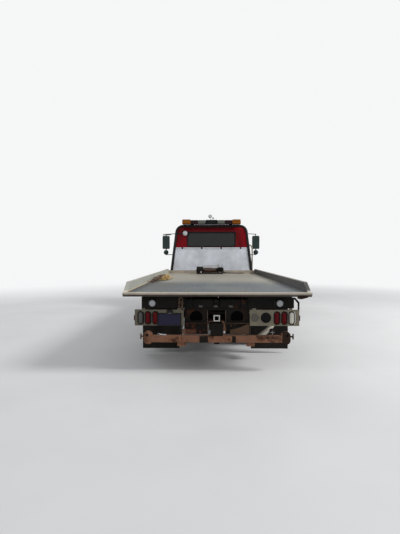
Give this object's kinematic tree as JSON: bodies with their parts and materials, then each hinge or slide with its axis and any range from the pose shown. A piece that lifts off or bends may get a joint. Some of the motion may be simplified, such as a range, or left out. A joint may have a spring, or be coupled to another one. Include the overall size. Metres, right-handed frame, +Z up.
{
  "type": "tow truck",
  "caption": "Rollback tow truck: a conventional red cab, a flat bed that slides and tilts, a headboard hoop with a light bar, a winch, and a stowed wheel lift under the tail.",
  "frame": {"origin": "on the ground under the middle of the truck's length and width", "axes": "+Y forward along the truck, +X to its right side, +Z up"},
  "size_m": [3.16, 8.61, 2.8019],
  "materials": {
    "tyre": "matt",
    "rim": "satin, dusty",
    "chassis_black": "satin, dusty",
    "cab_red": "gloss",
    "cab_glass": "gloss",
    "interior": "matt",
    "bumper_chrome": "polished",
    "bed_steel": "worn",
    "bed_edge": "worn",
    "bed_frame": "satin, rusty",
    "side_rail": "worn paint",
    "hoop_black": "gloss",
    "panel": "galvanised, matt",
    "light_bar": "gloss",
    "lamp_lens": "gloss",
    "lamp_plate": "dusty",
    "tail_paint": "dark red-brown, rusty",
    "rust": "rusty",
    "rod_chrome": "polished",
    "cylinder_paint": "satin",
    "winch_paint": "greasy",
    "mirror_shell": "gloss",
    "flap_rubber": "matt, dusty",
    "tank": "brushed",
    "headlamp": "gloss"
  },
  "bodies": {
    "chassis": {"chassis_rails": "chassis_black", "cross_members": "chassis_black", "front_axle": "chassis_black", "rear_axle": "chassis_black", "leaf_springs": "chassis_black", "engine": "chassis_black", "bumper": "bumper_chrome", "radiator": "chassis_black", "fuel_tank": "tank", "side_boxes": "tank", "mud_flaps": "flap_rubber", "chassis_brackets": "chassis_black", "cab_shell": "cab_red", "cab_glass": "cab_glass", "cab_interior": "interior"},
    "steering_wheel": {"steering_wheel": "interior"},
    "knuckle_right": {"knuckle_right": "chassis_black"},
    "knuckle_left": {"knuckle_left": "chassis_black"},
    "wheel_front_right": {"tyre_front_right": "tyre", "rim_front_right": "rim"},
    "wheel_front_left": {"tyre_front_left": "tyre", "rim_front_left": "rim"},
    "wheels_rear_right": {"tyres_rear_right": "tyre", "rims_rear_right": "rim"},
    "wheels_rear_left": {"tyres_rear_left": "tyre", "rims_rear_left": "rim"},
    "hood": {"hood": "cab_red", "headlamps": "headlamp"},
    "door_right": {"door_right": "cab_red", "door_glass_right": "cab_glass", "mirror_right": "mirror_shell"},
    "door_left": {"door_left": "cab_red", "door_glass_left": "cab_glass", "mirror_left": "mirror_shell"},
    "tilt_frame": {"tilt_rails": "bed_frame", "tilt_cross_members": "bed_frame", "tail_bulkhead": "tail_paint", "rear_beam": "bed_frame", "lamp_plates": "lamp_plate", "tail_lamps": "lamp_lens", "bed_barrel": "cylinder_paint"},
    "bed": {"bed_plate": "bed_steel", "bed_underframe": "bed_frame", "bed_edges": "bed_edge", "side_rails": "side_rail", "hoop": "hoop_black", "headboard_panel": "panel", "light_bar": "light_bar", "winch_frame": "winch_paint", "bed_rod": "rod_chrome"},
    "winch_drum": {"winch_drum": "winch_paint"},
    "boom": {"lift_boom": "rust"},
    "stinger": {"stinger": "rust"},
    "cross_bar": {"cross_bar": "rust"},
    "tilt_barrels": {"tilt_barrels": "cylinder_paint"},
    "tilt_rods": {"tilt_rods": "rod_chrome"},
    "lift_barrel": {"lift_barrel": "cylinder_paint"},
    "lift_rod": {"lift_rod": "rod_chrome"}
  },
  "joints": [
    {"name": "steer_left", "type": "hinge", "parent": "chassis", "child": "knuckle_left", "pos_m": [-0.88, 3.565, 0.5], "axis": [0, 0, 1], "range_deg": [-35, 35]},
    {"name": "steer_right", "type": "hinge", "parent": "chassis", "child": "knuckle_right", "pos_m": [0.88, 3.565, 0.5], "axis": [0, 0, 1], "range_deg": [-35, 35]},
    {"name": "steering_wheel_turn", "type": "hinge", "parent": "chassis", "child": "steering_wheel", "pos_m": [-0.52, 2.556, 1.56], "axis": [0, -0.9063, 0.4226], "range_deg": [-540, 540]},
    {"name": "wheel_front_left_spin", "type": "hinge", "parent": "knuckle_left", "child": "wheel_front_left", "pos_m": [-1.01, 3.565, 0.5], "axis": [1, 0, 0], "continuous": true},
    {"name": "wheel_front_right_spin", "type": "hinge", "parent": "knuckle_right", "child": "wheel_front_right", "pos_m": [1.01, 3.565, 0.5], "axis": [1, 0, 0], "continuous": true},
    {"name": "wheels_rear_left_spin", "type": "hinge", "parent": "chassis", "child": "wheels_rear_left", "pos_m": [-0.905, -2.305, 0.5], "axis": [1, 0, 0], "continuous": true},
    {"name": "wheels_rear_right_spin", "type": "hinge", "parent": "chassis", "child": "wheels_rear_right", "pos_m": [0.905, -2.305, 0.5], "axis": [1, 0, 0], "continuous": true},
    {"name": "hood_tilt", "type": "hinge", "parent": "chassis", "child": "hood", "pos_m": [0, 4.207, 0.72], "axis": [-1, 0, 0], "range_deg": [0, 60]},
    {"name": "door_right_swing", "type": "hinge", "parent": "chassis", "child": "door_right", "pos_m": [1.09, 2.926, 1.36], "axis": [0, 0, 1], "range_deg": [0, 70]},
    {"name": "door_left_swing", "type": "hinge", "parent": "chassis", "child": "door_left", "pos_m": [-1.09, 2.926, 1.36], "axis": [0, 0, -1], "range_deg": [0, 70]},
    {"name": "bed_tilt", "type": "hinge", "parent": "chassis", "child": "tilt_frame", "pos_m": [0, -3.605, 0.913], "axis": [1, 0, 0], "range_deg": [0, 19]},
    {"name": "bed_slide", "type": "slide", "parent": "tilt_frame", "child": "bed", "axis": [0, -1, 0], "range_m": [0, 2.4]},
    {"name": "winch_turn", "type": "hinge", "parent": "bed", "child": "winch_drum", "pos_m": [-0.035, 1.205, 1.205], "axis": [1, 0, 0], "continuous": true},
    {"name": "boom_lower", "type": "hinge", "parent": "tilt_frame", "child": "boom", "pos_m": [0, -3.3, 0.614], "axis": [1, 0, 0], "range_deg": [0, 12]},
    {"name": "stinger_reach", "type": "slide", "parent": "boom", "child": "stinger", "axis": [0, -1, 0], "range_m": [0, 0.6]},
    {"name": "cross_bar_swivel", "type": "hinge", "parent": "stinger", "child": "cross_bar", "pos_m": [0, -4.204, 0.45], "axis": [0, 0, 1], "range_deg": [-15, 15]},
    {"name": "tilt_barrels_swing", "type": "hinge", "parent": "chassis", "child": "tilt_barrels", "pos_m": [0, -0.35, 0.705], "axis": [-1, 0, 0], "range_deg": [0, 22]},
    {"name": "tilt_rods_out", "type": "slide", "parent": "tilt_barrels", "child": "tilt_rods", "axis": [0, -0.9958, 0.0913], "range_m": [0, 0.235]},
    {"name": "lift_barrel_swing", "type": "hinge", "parent": "tilt_frame", "child": "lift_barrel", "pos_m": [0, -3.42, 0.822], "axis": [1, 0, 0], "range_deg": [0, 15]},
    {"name": "lift_rod_out", "type": "slide", "parent": "lift_barrel", "child": "lift_rod", "axis": [0, -0.9772, -0.2124], "range_m": [0, 0.052]}
  ],
  "couplings": [
    {"joint": "steer_right", "follows": "steer_left", "ratio": 1},
    {"joint": "steering_wheel_turn", "follows": "steer_left", "ratio": 15},
    {"joint": "tilt_barrels_swing", "follows": "bed_tilt", "ratio": 1.0628},
    {"joint": "tilt_rods_out", "follows": "bed_tilt", "m_per_rad": 0.69777},
    {"joint": "lift_barrel_swing", "follows": "boom_lower", "ratio": 1.0936},
    {"joint": "lift_rod_out", "follows": "boom_lower", "m_per_rad": 0.23518}
  ]
}
